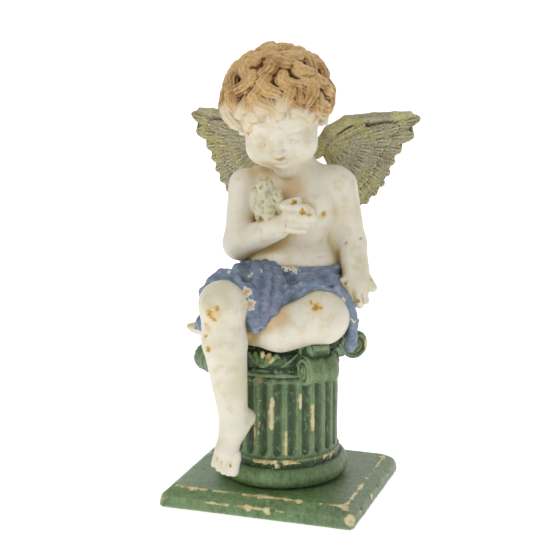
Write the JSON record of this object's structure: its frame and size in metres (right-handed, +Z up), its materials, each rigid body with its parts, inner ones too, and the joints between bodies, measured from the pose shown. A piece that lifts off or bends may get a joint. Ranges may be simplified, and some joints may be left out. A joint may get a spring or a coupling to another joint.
{
  "type": "sitting angel figurine",
  "caption": "Painted cast figurine of a winged child sitting on a short fluted column on a square slab, holding a dove, cloth over its lap.",
  "frame": {"origin": "centre of the slab's underside", "axes": "+Z up, -Y towards the front of the slab, +X towards the angel's own left"},
  "size_m": [0.2146, 0.1981, 0.4004],
  "materials": {
    "painted_casting": "cast resin hand painted in matt ivory, dusty blue, olive and mid green, rubbed to pale gold at edges"
  },
  "bodies": {
    "root": {"sitting_angel": "painted_casting"}
  },
  "joints": []
}
